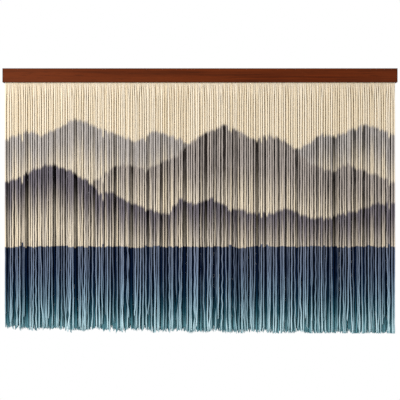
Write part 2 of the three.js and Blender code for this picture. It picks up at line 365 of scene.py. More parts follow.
FAR_HILLS = [
    (-540, -175), (-475, -150), (-430, -160), (-340, -115), (-280, -140), (-235, -155), (-175, -180),
    (-125, -150), (-80, -160), (-40, -180), (60, -215), (220, -215), (285, -190), (340, -155),
    (375, -165), (405, -150), (455, -130), (485, -140), (540, -160),
]
MIDDLE_HILLS = [
    (-540, -520), (-350, -400), (-295, -290), (-265, -270), (-235, -245), (-200, -240), (-150, -255),
    (-95, -230), (-60, -215), (-25, -180), (5, -160), (70, -130), (100, -145), (150, -175), (190, -160),
    (230, -175), (260, -195), (295, -230), (335, -250), (365, -260), (405, -240), (455, -260), (540, -290),
]
NEAR_HILLS = [
    (-540, -290), (-495, -275), (-450, -250), (-415, -240), (-385, -245), (-335, -270), (-305, -290),
    (-275, -320), (-245, -315), (-195, -345), (-120, -370), (-90, -380), (-65, -345), (-45, -335),
    (-20, -350), (35, -335), (85, -360), (155, -375), (210, -370), (235, -360), (320, -390), (380, -380),
    (455, -360), (475, -350), (540, -345),
]
SEA_LEVEL = -469 * MM
MIDDLE_MIST = -155 * MM
NEAR_MIST = -250 * MM


def hill_height(outline, x):
    """A smooth skyline through a few points, in metres, at each place along the rail."""
    places, heights = (np.array(column) * MM for column in zip(*outline))
    fine = np.linspace(places[0], places[-1], 541)
    line = np.interp(fine, places, heights)
    for _ in range(6):
        line[1:-1] = (line[:-2] + 2 * line[1:-1] + line[2:]) / 4
    return np.interp(x, fine, line)


# ---------------------------------------------------------------- cord meshes


def tube(path, radii, sides=CORD_SIDES):
    """Rings of points round a path, each starting on the side toward the rail's right end."""
    along = np.gradient(path, axis=0)
    along /= np.linalg.norm(along, axis=1)[:, None]
    right = np.array([1.0, 0, 0]) - along * along[:, :1]
    right /= np.linalg.norm(right, axis=1)[:, None]
    out = np.cross(along, right)
    angle = np.linspace(0, 2 * math.pi, sides, endpoint=False)
    ring = np.cos(angle)[None, :, None] * right[:, None] + np.sin(angle)[None, :, None] * out[:, None]
    return path[:, None] + ring * radii[:, None, None]


def cord_radii(path):
    """Full in the open, squeezed inside the rail, never quite even; also the run along the cord."""
    step = np.linalg.norm(np.diff(path, axis=0), axis=1)
    run = np.concatenate([[0], np.cumsum(step)])
    free = np.clip((RAIL_BOTTOM - path[:, 2]) / (32 * MM), 0, 1)
    free = free * free * (3 - 2 * free)
    uneven = 1 + 0.05 * np.sin(run * DICE.uniform(120, 260) + DICE.uniform(0, 6))
    return (CLAMPED_RADIUS + (CORD_RADIUS - CLAMPED_RADIUS) * free) * uneven, run


class CordMesh:
    """Collects many cords into one mesh, with what the dye needs to know about every point."""

    def __init__(self):
        self.points, self.faces, self.uvs = [], [], []
        self.place, self.look = [], []
        self.total = 0

    def add(self, path, radii, run, look, rest_x, sides=CORD_SIDES):
        rings = len(path)
        points = tube(path, radii, sides)
        self.points.append(points.reshape(-1, 3))
        first = self.total
        ring, k = np.meshgrid(np.arange(rings - 1), np.arange(sides), indexing="ij")
        a = first + ring * sides + k
        b = first + ring * sides + (k + 1) % sides
        faces = np.stack([a, b, b + sides, a + sides], -1).reshape(-1, 4)
        self.faces.extend(faces[:, ::-1].tolist())
        u0, u1 = k / sides, (k + 1) / sides
        v0, v1 = run[ring], run[ring + 1]
        uv = np.stack([np.stack([u0, v1], -1), np.stack([u1, v1], -1),
                       np.stack([u1, v0], -1), np.stack([u0, v0], -1)], 2)
        self.uvs.append(uv.reshape(-1, 2))
        last = first + (rings - 1) * sides
        self.faces.append([first + i for i in range(sides)])
        self.faces.append([last + i for i in reversed(range(sides))])
        self.uvs.append(np.tile([0.5, run[0]], (sides, 1)))
        self.uvs.append(np.tile([0.5, run[-1]], (sides, 1)))
        place = points.reshape(-1, 3).copy()
        place[:, 0] = np.repeat(rest_x, sides)
        self.place.append(place)
        self.look.append(np.tile(look, (rings * sides, 1)))
        self.total += rings * sides

    def add_fray(self, path, run, look, rest_x):
        """The last bit of a cut end, where its three plies have come apart and spread."""
        turn = DICE.uniform(0, 2 * math.pi)
        for ply in range(FRAY_PLIES):
            angle = turn + 2 * math.pi * ply / FRAY_PLIES
            out = np.array([math.cos(angle), math.sin(angle), 0])
            out = out * DICE.uniform(0.5, 1.6) * MM
            drop = DICE.uniform(5 * MM, 11 * MM)
            share = np.linspace(0, 1, 4)[:, None]
            start = path[-1] + out * 0.55 + np.array([0, 0, 2.5 * MM])
            line = start + out * share**1.5 + np.array([0, 0, -1.0]) * (drop + 2.5 * MM) * share
            line[:, 2] = np.maximum(line[:, 2], cad_low.z - 8 * MM)
            radii = CORD_RADIUS * np.array([0.56, 0.56, 0.46, 0.24])
            self.add(line, radii, run + share[:, 0] * drop, look, rest_x, FRAY_SIDES)

    def build(self, name):
        mesh = bpy.data.meshes.new(name)
        mesh.from_pydata(np.concatenate(self.points).tolist(), [], self.faces)
        uv_map = mesh.uv_layers.new(name="cord_uv")
        uv_map.data.foreach_set("uv", np.concatenate(self.uvs).astype(np.float32).ravel())
        place = np.concatenate(self.place)
        below = np.column_stack([
            hill_height(hills, place[:, 0]) - place[:, 2] for hills in (FAR_HILLS, MIDDLE_HILLS, NEAR_HILLS)
        ])
        look = np.concatenate(self.look)
        for label, values in (("cord_place", place), ("below_hills", below), ("cord_look", look)):
            attribute = mesh.attributes.new(label, "FLOAT_VECTOR", "POINT")
            attribute.data.foreach_set("vector", values.astype(np.float32).ravel())
        mesh.polygons.foreach_set("use_smooth", np.ones(len(mesh.polygons), bool))
        mesh.update()
        piece = bpy.data.objects.new(name, mesh)
        bpy.context.scene.collection.objects.link(piece)
        return piece


def dye_look(layer, deep=False):
    """How a leg took the dye: depth of colour by layer, a number of its own, and how far dye crept."""
    if deep:
        layer = 1
    depth = [0.12, 0.93, 1.0][layer] + DICE.normal(0, [0.22, 0.14, 0.05][layer])
    creep = DICE.normal(0, 2.2 * MM)
    if DICE.random() < 0.04:
        creep -= DICE.uniform(4 * MM, 20 * MM)
    return [float(np.clip(depth, 0, 1)), float(DICE.random()), float(creep)]


def make_bundle(hung, index, dye):
    """One bundle: whole cords over the rod, and the front leg of one cord as a piece of its own."""
    bundle = BUNDLES[index]
    legs = np.flatnonzero(hung["owner"] == index)
    front = [leg for leg in legs if hung["side"][leg] == 0]
    back = [leg for leg in legs if hung["side"][leg] == 1]
    front.sort(key=lambda leg: hung["hang_x"][leg])
    back.sort(key=lambda leg: hung["hang_x"][leg])
    outside = [k for k, leg in enumerate(front) if hung["layer"][leg] == 0]
    lead_number = outside[len(outside) // 2]
    cords = CordMesh()
    number = bundle[-2:]
    for k, (f, b) in enumerate(zip(front, back)):
        rod_x = hung["rod_x"][f]
        down_front, down_back = leg_path(hung, f), leg_path(hung, b)
        parts = [down_back[::-1], over_rod(rod_x, 0, 180)]
        if k != lead_number:
            parts.append(down_front)
        path = np.concatenate(parts)
        radii, run = cord_radii(path)
        back_look, front_look = dye_look(hung["layer"][b]), dye_look(hung["layer"][f], hung["deep"][f])
        cords.add(path, radii, run, back_look, path[:, 0])
        if k != lead_number:
            cords.look[-1][-len(down_front) * CORD_SIDES:] = front_look
            cords.add_fray(down_front, run[-1], front_look, path[-1:, 0].repeat(4))
        cords.add_fray(down_back, run[0], back_look, path[:1, 0].repeat(4))

    lead = CordMesh()
    start = over_rod(hung["rod_x"][front[lead_number]], 180, 180)[:1]
    path = np.concatenate([start, leg_path(hung, front[lead_number])])
    radii, run = cord_radii(path)
    lead_look = dye_look(0, hung["deep"][front[lead_number]])
    lead.add(path, radii, run, lead_look, path[:, 0])
    cords.add_fray(path, run[-1], lead_look, path[-1:, 0].repeat(4))
    lead_piece = lead.build(f"lead_cord_{number}")
    piece = cords.build(f"cords_{number}")

    for each in (piece, lead_piece):
        each.data.materials.append(dye)
        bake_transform(each)
    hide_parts(bundle, "loop_row_left" if index < len(BUNDLES) // 2 else "loop_row_right")


# ---------------------------------------------------------------- material helpers


def new_material(name):
    material = bpy.data.materials.new(name)
    material.use_nodes = True
    tree = material.node_tree
    return material, tree, tree.nodes["Principled BSDF"]


def add_node(tree, kind, **settings):
    node = tree.nodes.new(kind)
    for key, value in settings.items():
        setattr(node, key, value)
    return node


def math_node(tree, operation, *inputs):
    """A Math node fed with sockets or numbers; returns its output."""
    node = add_node(tree, "ShaderNodeMath", operation=operation)
    for slot, value in zip(node.inputs, inputs):
        if isinstance(value, (int, float)):
            slot.default_value = value
        else:
            tree.links.new(value, slot)
    return node.outputs[0]


def mix_colours(tree, share, a, b, blend="MIX"):
    node = add_node(tree, "ShaderNodeMix", data_type="RGBA", blend_type=blend)
    for slot, value in zip((node.inputs[0], node.inputs[6], node.inputs[7]), (share, a, b)):
        if isinstance(value, (int, float)):
            slot.default_value = value
        elif isinstance(value, tuple):
            slot.default_value = (*value, 1)
        else:
            tree.links.new(value, slot)
    return node.outputs[2]


def ramp(tree, value, stops):
    """A colour ramp through (place, colour) stops; colours are linear RGB or one grey number."""
    node = add_node(tree, "ShaderNodeValToRGB")
    elements = node.color_ramp.elements
    while len(elements) < len(stops):
        elements.new(0.5)
    for element, (place, colour) in zip(elements, stops):
        element.position = place
        element.color = (*colour, 1) if isinstance(colour, tuple) else (colour, colour, colour, 1)
    tree.links.new(value, node.inputs[0])
    return node.outputs[0]


def reach(tree, value, low, high, at_low, at_high):
    """Smoothly carries a value from one range to another, held at both ends."""
    node = add_node(tree, "ShaderNodeMapRange", interpolation_type="SMOOTHSTEP")
    tree.links.new(value, node.inputs[0])
    for slot, number in zip(node.inputs[1:5], (low, high, at_low, at_high)):
        slot.default_value = number
    return node.outputs[0]


def noise(tree, vector, scale, detail=2.0, roughness=0.5):
    node = add_node(tree, "ShaderNodeTexNoise")
    node.inputs["Scale"].default_value = scale
    node.inputs["Detail"].default_value = detail
    node.inputs["Roughness"].default_value = roughness
    tree.links.new(vector, node.inputs["Vector"])
    return node.outputs["Fac"]


def stretch(tree, vector, scale):
    node = add_node(tree, "ShaderNodeMapping")
    node.inputs["Scale"].default_value = scale
    tree.links.new(vector, node.inputs["Vector"])
    return node.outputs[0]


def bump(tree, height, distance, strength, shader):
    node = add_node(tree, "ShaderNodeBump")
    node.inputs["Distance"].default_value = distance
    node.inputs["Strength"].default_value = strength
    tree.links.new(height, node.inputs["Height"])
    tree.links.new(node.outputs[0], shader.inputs["Normal"])


def srgb(red, green, blue):
    """A colour given in 0 to 255 screen values, as linear light."""
    parts = (red / 255, green / 255, blue / 255)
    return tuple(((part + 0.055) / 1.055) ** 2.4 if part > 0.0404 else part / 12.92 for part in parts)


# ---------------------------------------------------------------- dyed cord

PLY_PITCH = 11 * MM
SEA_LINE_SOFTNESS = 2 * MM
SEA_DEPTH = 240 * MM
HEAVY_DYE_FROM = -20 * MM
HEAVY_DYE_TO = 300 * MM
THIN_WASH_FROM = 150 * MM
THIN_WASH_TO = 400 * MM
THIN_WASH_LIFT = 55 * MM
WASH_SPREAD = 25 * MM


def hill_layer(tree, under, bare, below, depth, tone, own, light, dark, fade):
    """Lays one range of hills over what is above it, sharp at its skyline and washed out further down.

    A cord that took more dye keeps more of it, and each cord's wash runs a little longer or shorter.
    """
    pigment = mix_colours(tree, tone, light, dark)
    edge = reach(tree, below, -3 * MM, 9 * MM, 0, 1)
    hold, end, light_rest, dark_rest = fade
    shifted = math_node(tree, "SUBTRACT", depth, WASH_SPREAD)
    run = math_node(tree, "MULTIPLY_ADD", own, 2 * WASH_SPREAD, shifted)
    washed_out = reach(tree, run, hold, end, 0.0, 1.0)
    loss = math_node(tree, "MULTIPLY_ADD", tone, light_rest - dark_rest, 1 - light_rest)
    thin = math_node(tree, "SUBTRACT", 1.0, math_node(tree, "MULTIPLY", washed_out, loss))
    washed = mix_colours(tree, thin, bare, pigment)
    return mix_colours(tree, edge, under, washed)


def dyed_cord_material():
    material, tree, shader = new_material("dip_dyed_cord")
    place = add_node(tree, "ShaderNodeAttribute", attribute_name="cord_place").outputs["Vector"]
    below = add_node(tree, "ShaderNodeAttribute", attribute_name="below_hills").outputs["Vector"]
    look = add_node(tree, "ShaderNodeAttribute", attribute_name="cord_look").outputs["Vector"]
    uv = add_node(tree, "ShaderNodeUVMap", uv_map="cord_uv").outputs[0]
    split = {}
    for label, source in (("place", place), ("below", below), ("look", look), ("uv", uv)):
        node = add_node(tree, "ShaderNodeSeparateXYZ")
        tree.links.new(source, node.inputs[0])
        split[label] = node.outputs
    tone, own, creep = split["look"]

    blotch = noise(tree, stretch(tree, place, (70, 70, 22)), 1.0, 3.0)
    wander = math_node(tree, "MULTIPLY_ADD", blotch, 16 * MM, -8 * MM)
    wander = math_node(tree, "ADD", wander, creep)
    tone = math_node(tree, "ADD", tone, math_node(tree, "MULTIPLY_ADD", blotch, 0.5, -0.25))
    tone = math_node(tree, "MINIMUM", math_node(tree, "MAXIMUM", tone, 0.0), 1.0)

    heavier = reach(tree, split["place"][0], HEAVY_DYE_FROM, HEAVY_DYE_TO, 0.0, 1.0)

    def deepened(dark, rest):
        """The dark tone of a range, which took more dye toward the right end."""
        return mix_colours(tree, heavier, dark, tuple(part * rest for part in dark))

    cream = mix_colours(tree, own, srgb(239, 227, 206), srgb(231, 215, 186))
    colour = cream
    far_dark = deepened(srgb(132, 125, 118), 0.2)
    middle_dark = deepened(srgb(46, 40, 37), 0.35)
    near_dark = deepened(srgb(13, 10, 14), 0.4)
    # Each range: its column in below_hills, how much of its wash follows a level mist and at what height,
    # its light and dark tones, and where the wash starts and ends and what it leaves of either tone.
    ranges = (
        (0, 0.0, 0.0, srgb(190, 183, 178), far_dark, (0.03, 0.14, 0.1, 0.55)),
        (1, 0.9, MIDDLE_MIST, srgb(178, 168, 161), middle_dark, (0.08, 0.21, 0.12, 0.78)),
        (2, 0.3, NEAR_MIST, srgb(122, 116, 124), near_dark, (0.03, 0.18, 0.12, 0.75)),
    )
    lift = reach(tree, split["place"][0], THIN_WASH_FROM, THIN_WASH_TO, 0.0, THIN_WASH_LIFT)
    thinned = math_node(tree, "ADD", split["place"][2], lift)
    for column, level_share, mist, light, dark, fade in ranges:
        below_line = math_node(tree, "ADD", split["below"][column], wander)
        own_depth = math_node(tree, "MULTIPLY", below_line, 1 - level_share)
        depth = math_node(tree, "MULTIPLY_ADD", thinned, -level_share, mist * level_share)
        depth = math_node(tree, "ADD", depth, own_depth)
        colour = hill_layer(tree, colour, cream, below_line, depth, tone, own, light, dark, fade)

    swell = noise(tree, stretch(tree, place, (14, 0, 0)), 1.0, 1.0)
    swell = math_node(tree, "MULTIPLY_ADD", swell, 14 * MM, -7 * MM)
    height = math_node(tree, "ADD", split["place"][2], math_node(tree, "MULTIPLY_ADD", wander, 0.5, swell))
    under_sea = reach(tree, height, SEA_LEVEL - SEA_LINE_SOFTNESS, SEA_LEVEL + SEA_LINE_SOFTNESS, 1, 0)
    depth_share = math_node(tree, "MULTIPLY_ADD", height, -1 / SEA_DEPTH, SEA_LEVEL / SEA_DEPTH)
    sea_light = ramp(tree, depth_share, [
        (0.0, srgb(122, 131, 151)), (0.3, srgb(120, 137, 160)), (0.55, srgb(138, 165, 183)),
        (0.75, srgb(168, 199, 211)), (0.97, srgb(202, 229, 235))])
    sea_dark = ramp(tree, depth_share, [
        (0.0, srgb(6, 18, 40)), (0.3, srgb(5, 19, 43)), (0.55, srgb(6, 33, 54)),
        (0.75, srgb(30, 72, 85)), (0.97, srgb(98, 146, 155))])
    # Painted shade below the sea line: each cord is painted darker round its sides and back than on its
    # front, plus a random share of its own tone.
    around = math_node(tree, "SINE", math_node(tree, "MULTIPLY", split["uv"][0], 2 * math.pi))
    painted_side_shade_and_tone = reach(tree, around, 0.25, 0.97, 0.62, 0.0)
    painted_side_shade_and_tone = math_node(tree, "MULTIPLY_ADD", own, 0.4, painted_side_shade_and_tone)
    sea_tone_and_side_shade = math_node(tree, "MINIMUM", math_node(tree, "ADD", tone, painted_side_shade_and_tone), 1.0)
    colour = mix_colours(tree, under_sea, colour, mix_colours(tree, sea_tone_and_side_shade, sea_light, sea_dark))

    turns = math_node(tree, "MULTIPLY_ADD", split["uv"][1], 1 / PLY_PITCH, split["uv"][0])
    ply = math_node(tree, "SINE", math_node(tree, "MULTIPLY", turns, 3 * math.pi))
    ply = math_node(tree, "ABSOLUTE", ply)
    fibre = noise(tree, stretch(tree, uv, (26, 900, 1)), 1.0, 2.0, 0.6)
    groove = reach(tree, ply, 0.0, 0.45, 0.0, 1.0)
    shade = math_node(tree, "MULTIPLY_ADD", groove, 0.14, 0.86)
    shade = math_node(tree, "MULTIPLY", shade, math_node(tree, "MULTIPLY_ADD", fibre, 0.16, 0.92))
    grey = add_node(tree, "ShaderNodeCombineColor")
    for slot in grey.inputs:
        tree.links.new(shade, slot)
    colour = mix_colours(tree, 1.0, colour, grey.outputs[0], "MULTIPLY")
    tree.links.new(colour, shader.inputs["Base Color"])
    relief = math_node(tree, "ADD", ply, math_node(tree, "MULTIPLY", fibre, 0.5))
    bump(tree, relief, 0.5 * MM, 0.6, shader)
    shader.inputs["Roughness"].default_value = 0.92
    shader.inputs["Specular IOR Level"].default_value = 0.03
    return material


hung_cords = hang_cords()
dyed_cord = dyed_cord_material()
for number in range(len(BUNDLES)):
    make_bundle(hung_cords, number, dyed_cord)


# ---------------------------------------------------------------- wood, steel and felt


def object_place(tree):
    """Object coordinates as a vector and as its three numbers."""
    place = add_node(tree, "ShaderNodeTexCoord").outputs["Object"]
    split = add_node(tree, "ShaderNodeSeparateXYZ")
    tree.links.new(place, split.inputs[0])
    return place, split.outputs


def bent_grain(tree, place, amount):
    """The place with a slow waver across the board, so that the grain lines aren't ruled straight."""
    waver = noise(tree, stretch(tree, place, (3.0, 18, 30)), 1.0, 3.0)
    bend = add_node(tree, "ShaderNodeVectorMath", operation="MULTIPLY_ADD")
    tree.links.new(waver, bend.inputs[0])
    bend.inputs[1].default_value = amount
    tree.links.new(place, bend.inputs[2])
    return bend.outputs[0]


def end_grain(tree, place):
    """Year rings as arcs round a heart that lay below and behind the board."""
    shifted = add_node(tree, "ShaderNodeMapping")
    shifted.inputs["Location"].default_value = (0, -0.03, 0.07)
    shifted.inputs["Scale"].default_value = (0, 1, 1)
    tree.links.new(place, shifted.inputs["Vector"])
    length = add_node(tree, "ShaderNodeVectorMath", operation="LENGTH")
    tree.links.new(shifted.outputs[0], length.inputs[0])
    slow = noise(tree, place, 60.0, 2.0)
    quick = noise(tree, place, 420.0, 3.0)
    distance = math_node(tree, "MULTIPLY_ADD", slow, 0.009, length.outputs["Value"])
    distance = math_node(tree, "MULTIPLY_ADD", quick, 0.0006, distance)
    rings = math_node(tree, "SINE", math_node(tree, "MULTIPLY", distance, 2 * math.pi / 0.0027))
    rings = math_node(tree, "MULTIPLY_ADD", rings, 0.3, 0.2)
    return math_node(tree, "MULTIPLY_ADD", quick, 0.6, rings)


def walnut_material():
    material, tree, shader = new_material("oiled_walnut")
    place, (along, _, up) = object_place(tree)
    bent = bent_grain(tree, place, (0.0, 0.006, 0.012))
    bands = noise(tree, stretch(tree, bent, (2.2, 120, 150)), 1.0, 4.0, 0.6)
    pores = noise(tree, stretch(tree, bent, (22, 900, 900)), 1.0, 2.0, 0.6)
    broad = noise(tree, stretch(tree, place, (2.4, 8, 12)), 1.0, 2.0)
    colour = ramp(tree, bands, [
        (0.25, srgb(44, 14, 3)), (0.42, srgb(74, 26, 4)), (0.6, srgb(95, 37, 8)), (0.78, srgb(58, 19, 3))])
    redder = reach(tree, along, -0.5, 0.1, 0.75, 0.0)
    redder = math_node(tree, "ADD", redder, reach(tree, broad, 0.35, 0.7, -0.15, 0.3))
    redder = math_node(tree, "MINIMUM", math_node(tree, "MAXIMUM", redder, 0.0), 1.0)
    colour = mix_colours(tree, redder, colour, srgb(98, 44, 18))
    pore_share = reach(tree, pores, 0.56, 0.72, 0.0, 0.55)
    colour = mix_colours(tree, pore_share, colour, srgb(30, 11, 5))

    # Painted shade: the rail is painted a darker brown near its top and bottom edges and its two ends.
    half_height, half_length = RAIL_HIGH.z, RAIL_HIGH.x
    to_edge = math_node(tree, "ABSOLUTE", up)
    edge = reach(tree, to_edge, half_height - 2.4 * MM, half_height - 0.4 * MM, 0.0, 0.62)
    to_end = math_node(tree, "ABSOLUTE", along)
    end = reach(tree, to_end, half_length - 3.2 * MM, half_length - 0.8 * MM, 0.0, 0.7)
    painted_edge_shade = math_node(tree, "MAXIMUM", edge, end)
    colour = mix_colours(tree, painted_edge_shade, colour, srgb(46, 20, 12))
    cut_end = reach(tree, to_end, half_length - 0.7 * MM, half_length - 0.2 * MM, 0.0, 1.0)
    rings = end_grain(tree, place)
    end_colour = ramp(tree, rings, [
        (0.1, srgb(44, 19, 9)), (0.55, srgb(72, 34, 17)), (0.9, srgb(58, 25, 12))])
    specks = reach(tree, noise(tree, place, 1400.0, 1.0), 0.6, 0.7, 0.0, 0.6)
    end_colour = mix_colours(tree, specks, end_colour, srgb(24, 10, 5))
    colour = mix_colours(tree, cut_end, colour, end_colour)
    tree.links.new(colour, shader.inputs["Base Color"])

    rough = math_node(tree, "MULTIPLY_ADD", bands, 0.18, 0.46)
    rough = math_node(tree, "MULTIPLY_ADD", cut_end, 0.2, rough)
    tree.links.new(rough, shader.inputs["Roughness"])
    relief = math_node(tree, "SUBTRACT", bands, pore_share)
    bump(tree, relief, 0.15 * MM, 0.35, shader)
    shader.inputs["Specular IOR Level"].default_value = 0.05
    return material


def birch_material():
    material, tree, shader = new_material("birch_dowel")
    place, _ = object_place(tree)
    streaks = noise(tree, stretch(tree, place, (6, 700, 700)), 1.0, 3.0, 0.6)
    colour = ramp(tree, streaks, [
        (0.3, srgb(178, 146, 101)), (0.55, srgb(208, 179, 134)), (0.75, srgb(190, 158, 112))])
    tree.links.new(colour, shader.inputs["Base Color"])
    tree.links.new(math_node(tree, "MULTIPLY_ADD", streaks, 0.2, 0.5), shader.inputs["Roughness"])
    bump(tree, streaks, 0.1 * MM, 0.3, shader)
    return material


def steel_material():
    material, tree, shader = new_material("zinc_plated_steel")
    place, _ = object_place(tree)
    patches = noise(tree, place, 420.0, 2.0)
    scratches = noise(tree, stretch(tree, place, (300, 2600, 900)), 1.0, 3.0, 0.7)
    dull = reach(tree, patches, 0.4, 0.65, 0.0, 1.0)
    colour = mix_colours(tree, dull, srgb(196, 196, 192), srgb(158, 160, 160))
    colour = mix_colours(tree, reach(tree, scratches, 0.62, 0.74, 0.0, 0.4), colour, srgb(112, 112, 110))
    tree.links.new(colour, shader.inputs["Base Color"])
    rough = math_node(tree, "MULTIPLY_ADD", dull, 0.14, 0.24)
    rough = math_node(tree, "MULTIPLY_ADD", scratches, 0.12, rough)
    tree.links.new(rough, shader.inputs["Roughness"])
    bump(tree, scratches, 0.03 * MM, 0.3, shader)
    shader.inputs["Metallic"].default_value = 1.0
    return material


def felt_material():
    material, tree, shader = new_material("pressed_felt")
    place, _ = object_place(tree)
    fibres = noise(tree, stretch(tree, place, (900, 900, 900)), 1.0, 4.0, 0.75)
    clumps = noise(tree, place, 160.0, 3.0)
    colour = ramp(tree, fibres, [
        (0.35, srgb(72, 69, 64)), (0.5, srgb(112, 108, 101)), (0.68, srgb(156, 151, 142))])
    colour = mix_colours(tree, reach(tree, clumps, 0.35, 0.65, 0.0, 0.4), colour, srgb(92, 88, 82))
    tree.links.new(colour, shader.inputs["Base Color"])
    tree.links.new(math_node(tree, "MULTIPLY_ADD", clumps, 0.1, 0.88), shader.inputs["Roughness"])
    relief = math_node(tree, "MULTIPLY_ADD", clumps, 0.6, fibres)
    bump(tree, relief, 0.4 * MM, 0.7, shader)
    shader.inputs["Sheen Weight"].default_value = 0.15
    shader.inputs["Specular IOR Level"].default_value = 0.1
    return material


walnut = walnut_material()
birch = birch_material()
zinc_steel = steel_material()
felt = felt_material()


# ---------------------------------------------------------------- bench work: how hard pieces are shaped


def select_only(piece):
    bpy.ops.object.select_all(action="DESELECT")
    piece.select_set(True)
    bpy.context.view_layer.objects.active = piece


def pick(piece, kind, wanted):
    """Goes into edit mode with only those faces, edges or points picked whose corners all pass the test."""
    select_only(piece)
    bpy.ops.object.mode_set(mode="EDIT")
    bpy.ops.mesh.select_mode(type=kind)
    bpy.ops.mesh.select_all(action="DESELECT")
    mesh = bmesh.from_edit_mesh(piece.data)
    if kind == "VERT":
        for point in mesh.verts:
            point.select_set(wanted(point.co))
    else:
        for part in (mesh.edges if kind == "EDGE" else mesh.faces):
            if all(wanted(point.co) for point in part.verts):
                part.select_set(True)
    bmesh.update_edit_mesh(piece.data)


def leave_editing():
    bpy.ops.object.mode_set(mode="OBJECT")


def keep_in_mesh(piece, name):
    """Names a new primitive and carries its place, turn and size into its mesh."""
    piece.name = piece.data.name = name
    select_only(piece)
    bpy.ops.object.transform_apply(location=True, rotation=True, scale=True)
    return piece


def add_block(name, low, high):
    """A box between two corners."""
    size = [b - a for a, b in zip(low, high)]
    middle = [(a + b) / 2 for a, b in zip(low, high)]
    bpy.ops.object.select_all(action="DESELECT")
    bpy.ops.mesh.primitive_cube_add(size=1, location=middle, scale=size)
    return keep_in_mesh(bpy.context.object, name)


def ease_edges(piece, width, segments=3):
    """A small round on every sharp edge."""
    select_only(piece)
    bevel = piece.modifiers.new("eased_edges", "BEVEL")
    bevel.width = width
    bevel.segments = segments
    bevel.limit_method = "ANGLE"
    bevel.angle_limit = math.radians(50)
    bpy.ops.object.modifier_apply(modifier=bevel.name)


def cut_away(piece, cutter):
    """Takes one shape out of another, and throws the cutter away."""
    select_only(piece)
    bite = piece.modifiers.new("bite", "BOOLEAN")
    bite.operation = "DIFFERENCE"
    bite.solver = "EXACT"
    bite.object = cutter
    bpy.ops.object.modifier_apply(modifier=bite.name)
    bpy.data.objects.remove(cutter)


def smooth_faces(piece, degrees=35):
    select_only(piece)
    bpy.ops.object.shade_smooth_by_angle(angle=math.radians(degrees))


def finish_piece(piece, material, body, slot, *nodes):
    piece.data.materials.clear()
    piece.data.materials.append(material)
    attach(piece, body)
    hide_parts(*nodes)


def copy_to(piece, name, move):
    """Another of the same piece, with a mesh of its own, moved along."""
    twin = piece.copy()
    twin.data = piece.data.copy()
    twin.name = twin.data.name = name
    bpy.context.scene.collection.objects.link(twin)
    twin.location = move
    return keep_in_mesh(twin, name)


# ---------------------------------------------------------------- the rail

BACK_FACE = BACK_HIGH.y
SCREWS = [f"rail_screw_{number}" for number in range(1, 7)]
FIRST_SCREW_X = middle_x(SCREWS[0])
SCREW_HEIGHT = (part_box(SCREWS[0])[0].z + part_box(SCREWS[0])[1].z) / 2
SCREW_HEAD_RADIUS = (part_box(SCREWS[0])[1].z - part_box(SCREWS[0])[0].z) / 2


def make_front_rail():
    """The board that shows: its long front edges are rounded by hand, the glued ones only taken off."""
    low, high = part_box("front_rail")
    piece = add_block("front_board", low, high)
    pick(piece, "EDGE", lambda corner: corner.y < low.y + 1 * MM)
    bpy.ops.mesh.bevel(offset=1.1 * MM, segments=4)
    leave_editing()
    ease_edges(piece, 0.3 * MM, 2)
    smooth_faces(piece)
    finish_piece(piece, walnut, "rail", "walnut", "front_rail")


def make_countersink(x):
    """A drill with a cone behind it, as long as the back board is thick."""
    bpy.ops.object.select_all(action="DESELECT")
    bpy.ops.mesh.primitive_cylinder_add(
        vertices=24, radius=SCREW_HEAD_RADIUS + 0.15 * MM, depth=0.7 * MM,
        location=(x, BACK_FACE - 0.15 * MM, SCREW_HEIGHT), rotation=(math.pi / 2, 0, 0))
    cutter = keep_in_mesh(bpy.context.object, "countersink")
    pick(cutter, "FACE", lambda corner: corner.y < BACK_FACE - 0.4 * MM)
    bpy.ops.mesh.extrude_region_move(TRANSFORM_OT_translate={"value": (0, -1.9 * MM, 0)})
    bpy.ops.transform.resize(value=(0.53, 1, 0.53), center_override=(x, BACK_FACE - 2.4 * MM, SCREW_HEIGHT))
    bpy.ops.mesh.extrude_region_move(TRANSFORM_OT_translate={"value": (0, -8 * MM, 0)})
    leave_editing()
    return cutter


def make_back_rail():
    piece = add_block("back_board", BACK_LOW, BACK_HIGH)
    ease_edges(piece, 0.8 * MM, 3)
    for name in SCREWS:
        cut_away(piece, make_countersink(middle_x(name)))
    smooth_faces(piece)
    finish_piece(piece, walnut, "rail", "walnut", "back_rail")


def make_inner_woodwork():
    """The spacer and the two end cheeks, with their edges just broken."""
    for node, name in (("spacer_strip", "spacer_board"), ("end_cheek_left", "left_end_cheek"),
                       ("end_cheek_right", "right_end_cheek")):
        piece = add_block(name, *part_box(node))
        ease_edges(piece, 0.25 * MM, 2)
        smooth_faces(piece)
        finish_piece(piece, walnut, "rail", "walnut", node)


def cross_wing(place, reach_out, width, depth):
    """One blade of a crosshead driver's tip, narrower towards the point."""
    x, y, z = place
    low = (x - reach_out, y - depth, z - width / 2)
    high = (x + reach_out, y + 1 * MM, z + width / 2)
    wing = add_block("wing", low, high)
    pick(wing, "FACE", lambda corner: corner.y < y - depth / 2)
    bpy.ops.transform.resize(value=(0.5, 1, 0.6), center_override=(x, y - depth, z))
    leave_editing()
    return wing


def cut_cross(screw, place, reach_out, width, depth):
    """Cuts a cross recess into a screw's head, one blade lying and one upright."""
    cut_away(screw, cross_wing(place, reach_out, width, depth))
    upright = cross_wing(place, reach_out, width, depth)
    turn_about(upright, place, "Y", math.pi / 2)
    cut_away(screw, upright)


